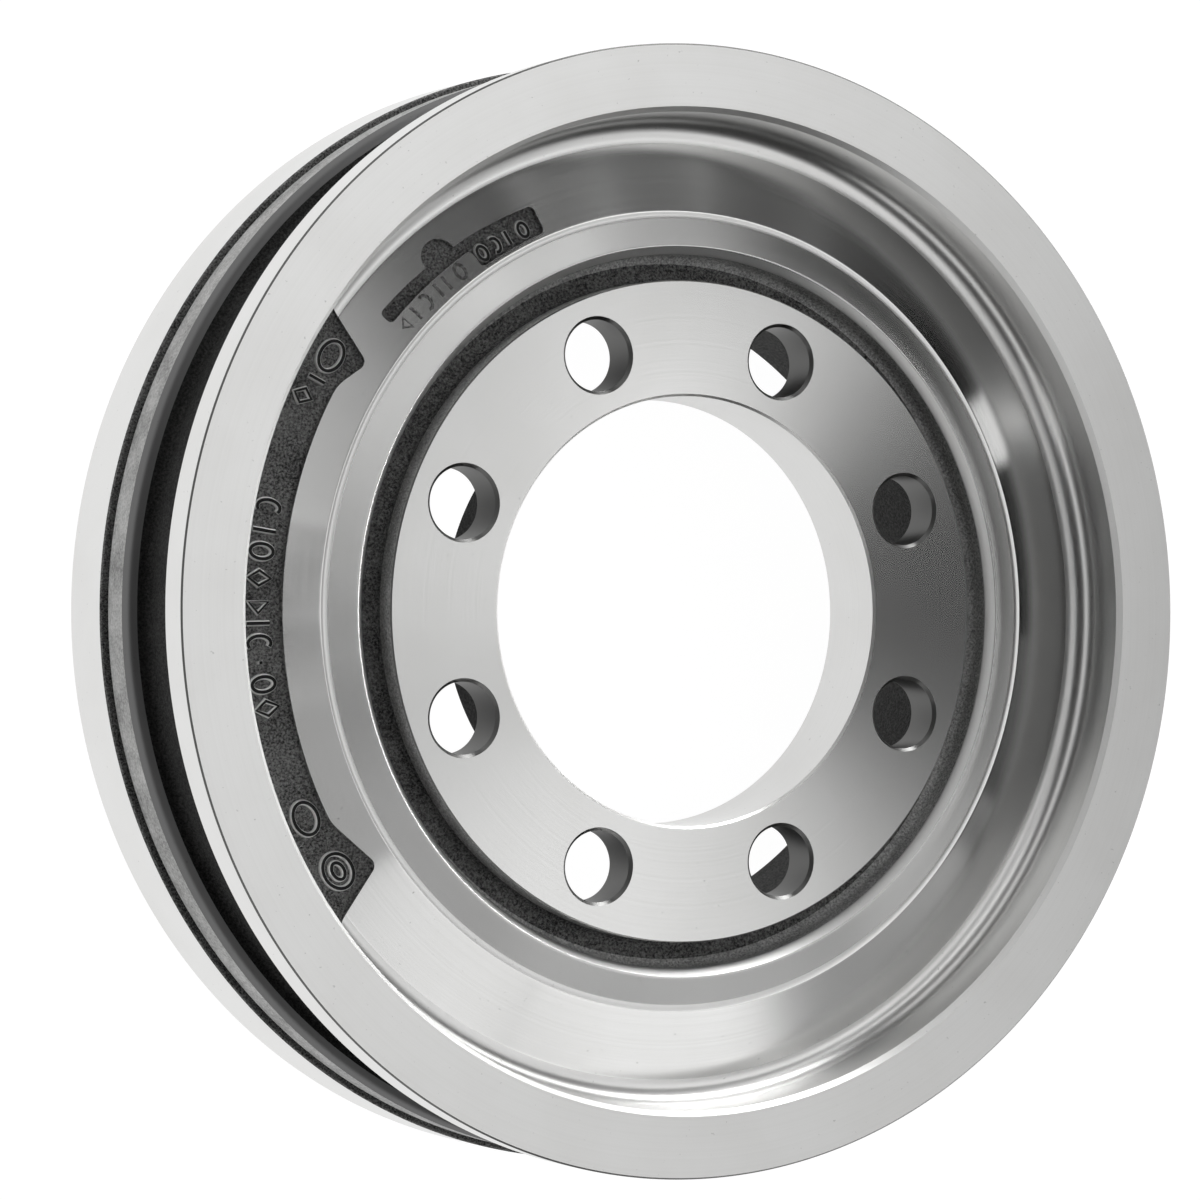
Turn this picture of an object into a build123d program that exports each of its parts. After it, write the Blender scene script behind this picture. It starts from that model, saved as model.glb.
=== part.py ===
from build123d import *
import math
import os

# One-piece brake drum, grey cast iron, turned on its working faces.
# Frame: millimetres, axis of rotation along Z, origin on the axis in the plane of the open rear end,
# front face (hub side) up. Radii are measured from the axis, heights from the rear end.

# ---- overall ----
outer_d = 340.0                 # over the front ring and the rear ring
width = 85.0                    # rear end to front face
edge_chamfer = 0.8              # light break on the edges of both rings

# ---- hub flange, bore and studs ----
bore_d = 130.0                  # centring bore
bore_len = 26.0                 # flange thickness plus the collar behind it
bore_chamfer = 0.7
hub_edge_land = 6.7             # hub face left outside the stud holes
hub_edge_chamfer = 0.4
hub_face_depth = 11.0           # hub face below the front face
flange_t = 14.0                 # flange thickness around the stud holes
stud_count = 8
stud_hole_d = 21.5
stud_bore_land = 6.8            # flange left between the bore and a stud hole: a 165.1 mm stud circle
stud_hole_chamfer = 1.0
stud_phase = 22.5               # first hole, degrees from +X
stud_edge_land = 4.2            # flange back left between a stud hole and the skirt
collar_clear = 0.8              # between the collar behind the flange and the broken edge of a stud hole

# ---- cast groove around the hub flange ----
groove_w = 8.0
groove_depth = 10.0             # below the hub face
groove_fillet = 2.5
lip_round = 2.6                 # rounded inner edge of the raised lip
lip_w = 12.0                    # lip from the groove to the relief line at its foot
lip_drop = 2.8                  # edges of the relief line below the hub face
relief_w = 1.0                  # half the width of the relief line
relief_depth = 0.7
relief_fillet = 0.8
relief_edge_round = 0.4

# ---- front ring and dish ----
front_face_w = 18.8             # width of the ring-shaped front face
opening_chamfer = 1.6
wall_draft = 0.8                # the dish wall closes in by this much on its way down
dish_angle = 12.2               # the dish floor falls towards its wall, degrees
dish_fillet = 6.0               # cove between wall and floor of the dish
web_t = 13.0                    # casting behind the relief line

# ---- outside ----
front_ring_w = 12.0
rear_ring_w = 23.8
thin_groove_w = 2.0
thin_groove_depth = 2.4         # below the cast land
land_w = 10.6                   # cast land in front of the thin groove
land_depth = 1.7                # land below the outer diameter
flank_w = 3.4                   # 45 degree turned flank down to the neck
neck_depth = 9.0                # cast neck below the outer diameter
neck_fillet = 2.2

# ---- inside, from the rear ----
track_wall = 17.6               # rings to shoe track: a 304.8 mm (12 inch) track
track_chamfer = 2.0
chamber_fillet = 5.0
skirt_t = 11.0                  # ring wall behind the cast groove
skirt_len = 38.0                # behind the back of the flange
skirt_fillet = 4.0
skirt_edge_fillet = 3.0

# ---- as-cast patches in the dish floor ----
patch_depth = 1.4
patch_clear = 1.8               # long patch to the foot of the dish wall
long_patch_start = 142.0        # degrees from +X, outer corners of the long patch
long_patch_end = 219.6
long_patch_lean = 3.8           # how far its end edges lean inwards, degrees
long_patch_foot_start = 4.6     # degrees from an inner corner to the plain inner edge
long_patch_foot_end = 8.0
long_patch_w = 15.1             # across its plain stretch
long_patch_flare_start = 4.4    # the inner corners reach this much closer to the axis
long_patch_flare_end = 5.6
long_patch_corner_r = 2.0
long_patch_foot_r = 12.0
short_patch_start = 113.1
short_patch_end = 139.5
short_patch_inset = 1.3         # inner edge from the relief line
short_patch_w = 8.7             # at its start
short_patch_widening = 2.0      # its outer edge has moved out by this much at its end
short_patch_corner_r = 1.6
short_patch_step = 124.2        # beyond this angle the patch is narrower
short_patch_step_inset = 2.6    # narrow part's inner edge from the outer edge at the start
patch_lobe_angle = 128.3
patch_lobe_r = 5.6

# ---- heights and radii that follow ----
outer_r = outer_d / 2
bore_r = bore_d / 2
stud_hole_r = stud_hole_d / 2
stud_circle_r = bore_r + stud_bore_land + stud_hole_r
hub_face_r = stud_circle_r + stud_hole_r + hub_edge_land
track_r = outer_r - track_wall
hub_face_z = width - hub_face_depth
flange_back_z = hub_face_z - flange_t
collar_end_z = hub_face_z - bore_len
collar_r = stud_circle_r - stud_hole_r - stud_hole_chamfer - collar_clear
groove_floor_z = hub_face_z - groove_depth
groove_outer_r = hub_face_r + groove_w
valley_r = groove_outer_r + lip_w
valley_z = hub_face_z - lip_drop
opening_r = outer_r - front_face_w
wall_top_r = opening_r - opening_chamfer
wall_foot_r = wall_top_r - wall_draft
dish_inner_r = valley_r + relief_w
dish_fall = (wall_foot_r - dish_inner_r) * math.tan(math.radians(dish_angle))
dish_edge_z = valley_z - dish_fall
chamber_top_z = valley_z - web_t
chamber_edge_z = chamber_top_z - dish_fall
skirt_inner_r = stud_circle_r + stud_hole_r + stud_edge_land
skirt_outer_r = skirt_inner_r + skirt_t
skirt_end_z = flange_back_z - skirt_len
rear_ring_z = rear_ring_w
land_rear_z = rear_ring_z + thin_groove_w
land_front_z = land_rear_z + land_w
neck_rear_z = land_front_z + flank_w
neck_front_z = width - front_ring_w
land_r = outer_r - land_depth
thin_groove_r = land_r - thin_groove_depth
neck_r = outer_r - neck_depth
flank_foot_r = land_r - flank_w
patch_outer_r = wall_foot_r - patch_clear
long_patch_r = patch_outer_r - long_patch_w
short_patch_r = dish_inner_r + short_patch_inset
short_patch_outer_r = short_patch_r + short_patch_w


def polar(radius, angle):
    """A point in the XY plane, given by its radius and its angle in degrees."""
    return (radius * math.cos(math.radians(angle)), radius * math.sin(math.radians(angle)))


# Each stretch of the section is a list of ((radius, height), fillet radius).
front_side = [
    ((bore_r, hub_face_z - bore_chamfer), 0),
    ((bore_r + bore_chamfer, hub_face_z), 0),
    ((hub_face_r - hub_edge_chamfer, hub_face_z), 0),
    ((hub_face_r, hub_face_z - hub_edge_chamfer), 0),
    ((hub_face_r, groove_floor_z), groove_fillet),
    ((groove_outer_r, groove_floor_z), groove_fillet),
    ((groove_outer_r, hub_face_z), lip_round),
    ((valley_r - relief_w, valley_z), relief_edge_round),
    ((valley_r, valley_z - relief_depth), relief_fillet),
    ((dish_inner_r, valley_z), relief_edge_round),
    ((wall_foot_r, dish_edge_z), dish_fillet),
    ((wall_top_r, width - opening_chamfer), 0),
    ((opening_r, width), 0),
]
outside = [
    ((outer_r - edge_chamfer, width), 0),
    ((outer_r, width - edge_chamfer), 0),
    ((outer_r, neck_front_z + edge_chamfer), 0),
    ((outer_r - edge_chamfer, neck_front_z), 0),
    ((neck_r, neck_front_z), neck_fillet),
    ((neck_r, neck_rear_z), neck_fillet),
    ((flank_foot_r, neck_rear_z), 0),
    ((land_r, land_front_z), 0),
    ((land_r, land_rear_z), 0),
    ((thin_groove_r, land_rear_z), 0),
    ((thin_groove_r, rear_ring_z), 0),
    ((outer_r - edge_chamfer, rear_ring_z), 0),
    ((outer_r, rear_ring_z - edge_chamfer), 0),
    ((outer_r, edge_chamfer), 0),
    ((outer_r - edge_chamfer, 0), 0),
]
inside = [
    ((track_r + track_chamfer, 0), 0),
    ((track_r, track_chamfer), 0),
    ((track_r, chamber_edge_z), chamber_fillet),
    ((skirt_outer_r, chamber_top_z), chamber_fillet),
    ((skirt_outer_r, skirt_end_z), skirt_edge_fillet),
    ((skirt_inner_r, skirt_end_z), skirt_edge_fillet),
    ((skirt_inner_r, flange_back_z), skirt_fillet),
    ((collar_r, flange_back_z), 0),
    ((collar_r, collar_end_z), 0),
    ((bore_r, collar_end_z), 0),
]

# Room above the dish floor that the patches may take, down to the cast skin below the turned floor.
patch_inner_z = valley_z - patch_depth
patch_outer_z = dish_edge_z - patch_depth

with BuildPart() as patch_layer:
    with BuildSketch(Plane.XZ):
        with BuildLine():
            FilletPolyline(
                (dish_inner_r, patch_inner_z),
                (patch_outer_r, patch_outer_z),
                (patch_outer_r, width),
                (dish_inner_r, width),
                radius=[0, dish_fillet, 0, 0],
                close=True,
            )
        make_face()
    revolve(axis=Axis.Z)

with BuildPart() as long_patch:
    with BuildSketch(Plane.XY.offset(patch_outer_z)) as long_outline:
        with BuildLine():
            start_angle = long_patch_start + long_patch_lean
            end_angle = long_patch_end - long_patch_lean
            foot_start = start_angle + long_patch_foot_start
            foot_end = end_angle - long_patch_foot_end
            outer_edge = CenterArc((0, 0), wall_foot_r, long_patch_start, long_patch_end - long_patch_start)
            inner_edge = CenterArc((0, 0), long_patch_r, foot_start, foot_end - foot_start)
            start_corner = polar(long_patch_r - long_patch_flare_start, start_angle)
            end_corner = polar(long_patch_r - long_patch_flare_end, end_angle)
            Polyline(outer_edge @ 0, start_corner, inner_edge @ 0)
            Polyline(inner_edge @ 1, end_corner, outer_edge @ 1)
        make_face()
        inner_vertices = long_outline.vertices().sort_by_distance((0, 0, patch_outer_z))
        fillet(inner_vertices[:2], long_patch_corner_r)
        fillet(long_outline.vertices().filter_by(
            lambda vertex: math.isclose(math.hypot(vertex.X, vertex.Y), long_patch_r)), long_patch_foot_r)
    extrude(amount=width - patch_outer_z)
    add(patch_layer.part, mode=Mode.INTERSECT)

with BuildPart() as short_patch:
    with BuildSketch(Plane.XY.offset(patch_outer_z)) as short_outline:
        with BuildLine():
            narrow_r = short_patch_outer_r - short_patch_step_inset
            end_r = short_patch_outer_r + short_patch_widening
            lobe_r = short_patch_outer_r + short_patch_widening / 2
            near_edge = CenterArc((0, 0), short_patch_r, short_patch_start, short_patch_step - short_patch_start)
            narrow_edge = CenterArc((0, 0), narrow_r, short_patch_step, short_patch_end - short_patch_step)
            middle = (short_patch_start + short_patch_end) / 2
            ThreePointArc(
                polar(short_patch_outer_r, short_patch_start),
                polar(lobe_r, middle),
                polar(end_r, short_patch_end),
            )
            Line(polar(short_patch_outer_r, short_patch_start), near_edge @ 0)
            Line(near_edge @ 1, narrow_edge @ 0)
            Line(narrow_edge @ 1, polar(end_r, short_patch_end))
        make_face()
        fillet(short_outline.vertices(), short_patch_corner_r)
    extrude(amount=width - patch_outer_z)
    # Round lobe, only on the outer side.
    with BuildSketch(Plane.XY.offset(patch_outer_z)):
        with Locations(polar(lobe_r, patch_lobe_angle)):
            Circle(patch_lobe_r)
        Circle((narrow_r + lobe_r) / 2, mode=Mode.SUBTRACT)
    extrude(amount=width - patch_outer_z)
    add(patch_layer.part, mode=Mode.INTERSECT)

with BuildPart() as brake_drum:
    with BuildSketch(Plane.XZ):
        with BuildLine():
            section = front_side + outside + inside
            corners = [corner for corner, _ in section]
            FilletPolyline(*corners, radius=[size for _, size in section], close=True)
        make_face()
    revolve(axis=Axis.Z)
    # Stud holes, broken at both ends.
    with Locations(Plane.XY.offset(hub_face_z)):
        with PolarLocations(stud_circle_r, stud_count, start_angle=stud_phase):
            Hole(stud_hole_r, depth=flange_t)
    stud_edges = brake_drum.edges().filter_by(GeomType.CIRCLE).filter_by(
        lambda edge: math.isclose(edge.radius, stud_hole_r))
    chamfer(stud_edges, stud_hole_chamfer)
    # As-cast patches left where the dish floor was not turned.
    add(long_patch.part, mode=Mode.SUBTRACT)
    add(short_patch.part, mode=Mode.SUBTRACT)

os.makedirs("parts", exist_ok=True)
brake_drum.part.label = "brake_drum"
export_step(brake_drum.part, "parts/brake_drum.step")
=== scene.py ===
"""Cast iron brake drum: one casting, turned on its working faces, standing on its open rear end."""

import math
from functools import partial

import bmesh
import bpy
from mathutils import Matrix, Vector


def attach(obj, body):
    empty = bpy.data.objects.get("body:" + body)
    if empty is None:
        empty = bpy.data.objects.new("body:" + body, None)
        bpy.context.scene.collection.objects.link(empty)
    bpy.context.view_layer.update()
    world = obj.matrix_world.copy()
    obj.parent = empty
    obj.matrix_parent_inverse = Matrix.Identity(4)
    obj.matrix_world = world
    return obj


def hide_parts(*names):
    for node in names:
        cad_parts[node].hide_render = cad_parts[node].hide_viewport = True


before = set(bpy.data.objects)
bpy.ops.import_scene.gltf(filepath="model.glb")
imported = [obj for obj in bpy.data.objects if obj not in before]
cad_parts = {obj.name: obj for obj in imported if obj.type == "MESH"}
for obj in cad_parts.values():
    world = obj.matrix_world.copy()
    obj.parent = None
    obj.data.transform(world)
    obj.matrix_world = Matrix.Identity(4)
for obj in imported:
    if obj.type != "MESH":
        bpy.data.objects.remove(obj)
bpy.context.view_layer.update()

bl_info = {
    "name": "Brake Drum",
    "version": (1, 0, 0),
    "blender": (4, 5, 0),
    "location": "3D View > Sidebar > Brake Drum",
    "description": "Builds a turned cast iron brake drum, its cast patches and a plain studio",
    "category": "Object",
}

MM = 0.001
BODY = "root"
NODE = "brake_drum"


# ---------------------------------------------------------------- sizes and colours

def length(name, about, millimetres):
    """A length that a user may change, in metres."""
    return bpy.props.FloatProperty(
        name=name, description=about, default=millimetres * MM, unit="LENGTH", precision=5, step=0.01
    )


def angle(name, about, degrees):
    """An angle that a user may change."""
    return bpy.props.FloatProperty(
        name=name, description=about, default=math.radians(degrees), unit="ROTATION"
    )


def hex_linear(code):
    """An sRGB hex colour as the linear RGBA that shaders take."""
    values = [int(code[i:i + 2], 16) / 255 for i in (1, 3, 5)]
    return [v / 12.92 if v <= 0.04045 else ((v + 0.055) / 1.055) ** 2.4 for v in values] + [1.0]


def colour(name, about, code):
    """A colour that a user may change."""
    return bpy.props.FloatVectorProperty(
        name=name, description=about, default=hex_linear(code), size=4, subtype="COLOR", min=0, max=1
    )


def number(name, about, default, **limits):
    """A plain number that a user may change."""
    return bpy.props.FloatProperty(name=name, description=about, default=default, **limits)


class DrumFrontSizes(bpy.types.PropertyGroup):
    """Front of the drum: ring, dish, lip, groove and hub flange."""

    outer_radius: length("Outer radius", "Over the front and rear rings", 170.0)
    width: length("Width", "Rear end to front face", 85.0)
    bore_radius: length("Bore radius", "Centring bore", 65.0)
    bore_end: length("Bore end height", "Rear end of the collar behind the flange", 48.0)
    bore_chamfer: length("Bore chamfer", "Front edge of the bore", 0.7)
    hub_radius: length("Hub face radius", "Outer edge of the flat hub face", 100.0)
    hub_height: length("Hub face height", "Above the rear end", 74.0)
    hub_chamfer: length("Hub edge chamfer", "Outer edge of the hub face", 0.4)
    groove_radius: length("Groove outer radius", "Cast groove around the hub face", 108.0)
    groove_floor: length("Groove floor height", "Above the rear end", 64.0)
    groove_fillet: length("Groove fillet", "Corners of the groove floor", 2.5)
    lip_bevel: length("Lip bevel", "Height of the bevel on the inner edge of the raised lip", 3.0)
    lip_angle: angle("Lip bevel angle", "Between the bevel and the axis", 38.0)
    lip_round: length("Lip round", "Both edges of the bevel", 0.5)
    valley_radius: length("Relief line radius", "Fine relief line at the foot of the lip", 120.0)
    valley_height: length("Valley height", "Edges of the relief line", 71.2)
    relief_width: length("Relief half width", "Half the width of the relief line", 1.0)
    relief_depth: length("Relief depth", "Depth of the relief line", 0.15)
    relief_fillet: length("Relief fillet", "Bottom of the relief line", 2.5)
    relief_round: length("Relief edge round", "Edges of the relief line", 1.0)
    dish_radius: length("Dish radius", "Foot of the dish wall", 148.8)
    dish_angle: angle("Dish angle", "The dish floor falls outwards by this", 12.2)
    dish_fillet: length("Dish cove", "Cove between dish floor and wall", 6.0)
    opening_radius: length("Opening radius", "Inner edge of the front face", 151.2)
    opening_chamfer: length("Opening chamfer", "Its width, on the inner edge of the front face", 1.45)
    opening_rise: length("Opening chamfer height", "Height of the same chamfer", 1.75)


class DrumOutsideSizes(bpy.types.PropertyGroup):
    """Outside and inside of the drum: rings, neck, shoe track, chamber and skirt."""

    edge_chamfer: length("Edge chamfer", "Light break on the edges of both rings", 0.5)
    neck_front: length("Neck front height", "Rear edge of the front ring", 73.0)
    neck_rear: length("Neck rear height", "Foot of the turned flank", 39.8)
    neck_radius: length("Neck radius", "Cast neck between the rings", 161.0)
    neck_fillet: length("Neck fillet", "Corners of the neck", 2.2)
    flank_radius: length("Flank radius", "Foot of the turned flank", 164.9)
    flank_bulge: length("Flank bulge", "The flank bulges between its foot and the land", 1.25)
    flank_round: length("Flank round", "Radius of the bulge", 3.2)
    land_radius: length("Land radius", "Cast land in front of the thin groove", 168.3)
    land_front: length("Land front height", "Above the rear end", 36.4)
    land_rear: length("Land rear height", "Above the rear end", 25.8)
    thin_groove_radius: length("Thin groove radius", "Floor of the thin groove", 165.9)
    rear_ring: length("Rear ring width", "From the rear end", 23.8)
    track_radius: length("Shoe track radius", "Turned inside of the drum", 152.4)
    track_chamfer: length("Track chamfer", "Rear edge of the shoe track", 2.0)
    chamber_top: length("Chamber height", "Roof over the brake shoes, at the skirt", 58.2)
    chamber_fillet: length("Chamber fillet", "Corners of the chamber", 5.0)
    skirt_outer: length("Skirt outer radius", "Ring wall behind the cast groove", 108.5)
    skirt_inner: length("Skirt inner radius", "Ring wall behind the cast groove", 97.5)
    skirt_end: length("Skirt end height", "Above the rear end", 22.0)
    skirt_round: length("Skirt round", "Free edge of the ring wall", 3.0)
    skirt_fillet: length("Skirt fillet", "Inside the ring wall, at the flange", 4.0)
    flange_back: length("Flange back height", "Above the rear end", 60.0)
    collar_radius: length("Collar radius", "Collar behind the flange", 70.0)


class StudSizes(bpy.types.PropertyGroup):
    """Stud holes through the hub flange."""

    count: bpy.props.IntProperty(name="Count", description="Stud holes", default=8, min=3, max=16)
    circle_radius: length("Circle radius", "Centres of the stud holes", 82.55)
    hole_radius: length("Hole radius", "Stud hole", 10.75)
    chamfer: length("Chamfer", "Both edges of a stud hole", 1.0)
    phase: angle("First hole", "Angle of the first hole from +X", 22.5)


class PatchSizes(bpy.types.PropertyGroup):
    """Two as-cast patches that the lathe tool never reached."""

    depth: length("Depth", "Below the turned dish floor", 1.4)
    clear: length("Clearance", "Long patch to the foot of the dish wall", 1.8)
    long_start: angle("Long start", "First outer corner of the long patch", 142.0)
    long_end: angle("Long end", "Last outer corner of the long patch", 219.6)
    long_lean: angle("Long lean", "Its end edges lean inwards by this", 3.8)
    long_foot_start: angle("Foot start", "Inner corner to the plain inner edge", 4.6)
    long_foot_end: angle("Foot end", "Inner corner to the plain inner edge", 8.0)
    long_radius: length("Long inner radius", "Plain inner edge of the long patch", 131.9)
    long_flare_start: length("Flare start", "The first inner corner is nearer to the axis by this", 4.4)
    long_flare_end: length("Flare end", "The last inner corner is nearer to the axis by this", 5.6)
    long_corner: length("Long corner", "Corner radius of the long patch", 2.8)
    long_foot: length("Long foot", "Blend radius at the plain inner edge", 12.0)
    short_start: angle("Short start", "First edge of the short patch", 113.1)
    short_end: angle("Short end", "Last edge of the short patch", 139.5)
    short_step: angle("Short step", "Beyond this angle the short patch is narrower", 124.2)
    short_radius: length("Short inner radius", "Inner edge of the short patch", 122.3)
    short_narrow: length("Narrow inner radius", "Inner edge of its narrow part", 128.4)
    short_outer: length("Short outer radius", "Outer edge at its start", 131.0)
    short_widening: length("Widening", "The outer edge has moved out by this much at its end", 2.0)
    short_corner: length("Short corner", "Corner radius of the short patch", 1.6)
    lobe_angle: angle("Lobe angle", "Round lobe on the short patch", 128.3)
    lobe_radius: length("Lobe radius", "Round lobe on the short patch", 5.6)


class MarkSizes(bpy.types.PropertyGroup):
    """Foundry marks on the patches and beside them: plain rings, bars, dots and lozenges."""

    line: length("Line width", "Flat top of a raised line", 1.25)
    rise: length("Rise", "Height of the raised lines above the cast ground", 0.75)
    faint_line: length("Faint line width", "Flat top of a line that the tool almost cut away", 0.8)
    faint_rise: length("Faint rise", "What is left of it above the turned floor", 0.08)


class FinishColours(bpy.types.PropertyGroup):
    """Colours of the iron in its finishes, and of the studio."""

    turned: colour("Turned iron", "Bare grey iron cut on a lathe", "#E0E0DF")
    cast: colour("Cast skin", "Dark sand-cast skin with its oxide", "#181818")
    cast_grain: colour("Cast grain", "Worn tops of the sand grain", "#3E3E3D")
    ground: colour("Patch ground", "Coarse sand-cast ground of the patches", "#2C2C2C")
    ground_grain: colour("Patch grain", "Worn tops of the ground's grain", "#969695")
    # Painted light: the groove walls get these pale colours, a lit copy of the dark cast skin.
    groove: colour("Groove wall", "Cast walls of the groove", "#8A8A89")
    groove_grain: colour("Groove grain", "Worn tops of the groove's grain", "#DADAD9")
    # Darker iron for the stud hole walls; also painted shade on the broken edges, which take it to show
    # as thin dark lines.
    drilled: colour("Drilled iron", "Walls of the stud holes", "#6C6C6B")
    flank: colour("Flank", "Oxidised turned flank", "#707070")
    blasted: colour("Blasted land", "Cast iron cleaned with grit", "#C6C6C5")
    blasted_low: colour("Blasted hollows", "Hollows of the cleaned land", "#858584")
    stain: colour("Stain", "Thin oxide film on turned iron", "#B4B1AC")
    # Painted highlight: this pale colour is set on the sloping rims of the raised marks.
    rubbed: colour("Painted rim highlights", "Rims of the raised marks", "#ECECEB")
    floor: colour("Floor", "Pale studio floor", "#F4F4F4")


class StudioSettings(bpy.types.PropertyGroup):
    """Floor, lamps and camera of the plain studio."""

    floor_radius: length("Floor radius", "Round pale floor", 6000.0)
    camera_distance: length("Camera distance", "From the middle of the front face", 1275.0)
    camera_tilt: angle("Camera tilt", "Camera off the axis, towards -X", 29.65)
    camera_turn: angle("Camera turn", "Camera off the axis, towards +Y", -0.39)
    sky: number("Studio dome", "Level of the dome between the lamps", 0.0, min=0)
    horizon: number("Horizon", "Level of the white surround", 1.0, min=0)


SIZE_GROUPS = {
    "brake_front": DrumFrontSizes,
    "brake_outside": DrumOutsideSizes,
    "brake_studs": StudSizes,
    "brake_patches": PatchSizes,
    "brake_marks": MarkSizes,
    "brake_finish": FinishColours,
    "brake_studio": StudioSettings,
}


# ---------------------------------------------------------------- node helpers

def feed(node, inputs):
    """Gives a node's inputs their values and links.

    inputs is a dict by input name or index, or a tuple in order. A node given as a value stands for
    its first output in use, and a list links each of its items to the one input."""
    pairs = inputs.items() if isinstance(inputs, dict) else enumerate(inputs)
    for key, value in pairs:
        for item in value if isinstance(value, list) else [value]:
            if isinstance(item, bpy.types.Node):
                item = next(output for output in item.outputs if output.enabled)
            if isinstance(item, bpy.types.NodeSocket):
                node.id_data.links.new(item, node.inputs[key])
            else:
                node.inputs[key].default_value = item


def add_node(tree, kind, inputs=(), **attributes):
    """Adds a node, sets its attributes, then feeds its inputs."""
    node = tree.nodes.new(kind)
    for key, value in attributes.items():
        setattr(node, key, value)
    feed(node, inputs)
    return node


def new_geometry_tree(name, sockets):
    """A Geometry Nodes tree with geometry in and out, and one input per named socket.

    Returns the tree, a function that adds a node to it, its Group Input and its Group Output."""
    tree = bpy.data.node_groups.new(name, "GeometryNodeTree")
    tree.interface.new_socket("Geometry", in_out="INPUT", socket_type="NodeSocketGeometry")
    tree.interface.new_socket("Geometry", in_out="OUTPUT", socket_type="NodeSocketGeometry")
    for label, kind in sockets:
        tree.interface.new_socket(label, in_out="INPUT", socket_type=kind)
    add = partial(add_node, tree)
    return tree, add, add("NodeGroupInput"), add("NodeGroupOutput")


def grow(name, start, tree, values):
    """A plain mesh grown from the start mesh by the tree, with its named inputs set first."""
    seed = bpy.data.objects.new(name + "_seed", start)
    bpy.context.scene.collection.objects.link(seed)
    modifier = seed.modifiers.new("grow", "NODES")
    modifier.node_group = tree
    for item in tree.interface.items_tree:
        if item.item_type == "SOCKET" and item.in_out == "INPUT" and item.name in values:
            modifier[item.identifier] = values[item.name]
    graph = bpy.context.evaluated_depsgraph_get()
    mesh = bpy.data.meshes.new_from_object(seed.evaluated_get(graph))
    mesh.name = name
    seed.modifiers.remove(modifier)
    bpy.data.objects.remove(seed)
    return mesh


def put_on_drum(name, mesh):
    """A finished piece of the drum that rides on its body."""
    piece = bpy.data.objects.new(name, mesh)
    bpy.context.scene.collection.objects.link(piece)
    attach(piece, BODY)
    return piece


# ---------------------------------------------------------------- section of the casting

(TURNED, DISH, HUB, LIP, COVE, WALL, BEVEL, BREAK, BORED, DRILLED, FLANK,
 BLASTED, CAST, SAND, GROOVE_WALL, GROOVE_FLOOR) = range(16)
GUARD = 0.5 * MM
FILLET_STEP = math.radians(9)
WALL_MIDDLE = 10.5 * MM    # below the front face
BULGE_PLACE = 1.6          # height of the bulge above the land, against its size
WELD_DISTANCE = 0.001 * MM


def rounded(points):
    """Outline points with rounded corners. points are (x, y, fillet radius, finish from there on).

    A guard point just outside each fillet keeps the smooth shading of the flat next to it true."""
    made = []
    for i, (x, y, fillet, follows) in enumerate(points):
        if not fillet:
            made.append((x, y, follows))
            continue
        here = Vector((x, y))
        back = Vector(points[i - 1][:2]) - here
        ahead = Vector(points[(i + 1) % len(points)][:2]) - here
        reach = fillet / math.tan(back.angle(ahead) / 2)
        guards = [side.length - reach > 2 * GUARD for side in (back, ahead)]
        back.normalize()
        ahead.normalize()
        centre = here + (back + ahead).normalized() * (fillet / math.sin(back.angle(ahead) / 2))
        start = here + back * reach - centre
        sweep = start.angle_signed(here + ahead * reach - centre)
        steps = max(2, math.ceil(abs(sweep) / FILLET_STEP))
        before = points[i - 1][3]
        if guards[0]:
            guard = here + back * (reach + GUARD)
            made.append((guard.x, guard.y, before))
        for k in range(steps + 1):
            at = centre + Matrix.Rotation(-sweep * k / steps, 2) @ start
            made.append((at.x, at.y, follows))
        if guards[1]:
            guard = here + ahead * (reach + GUARD)
            made.append((guard.x, guard.y, follows))
    return made


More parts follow.
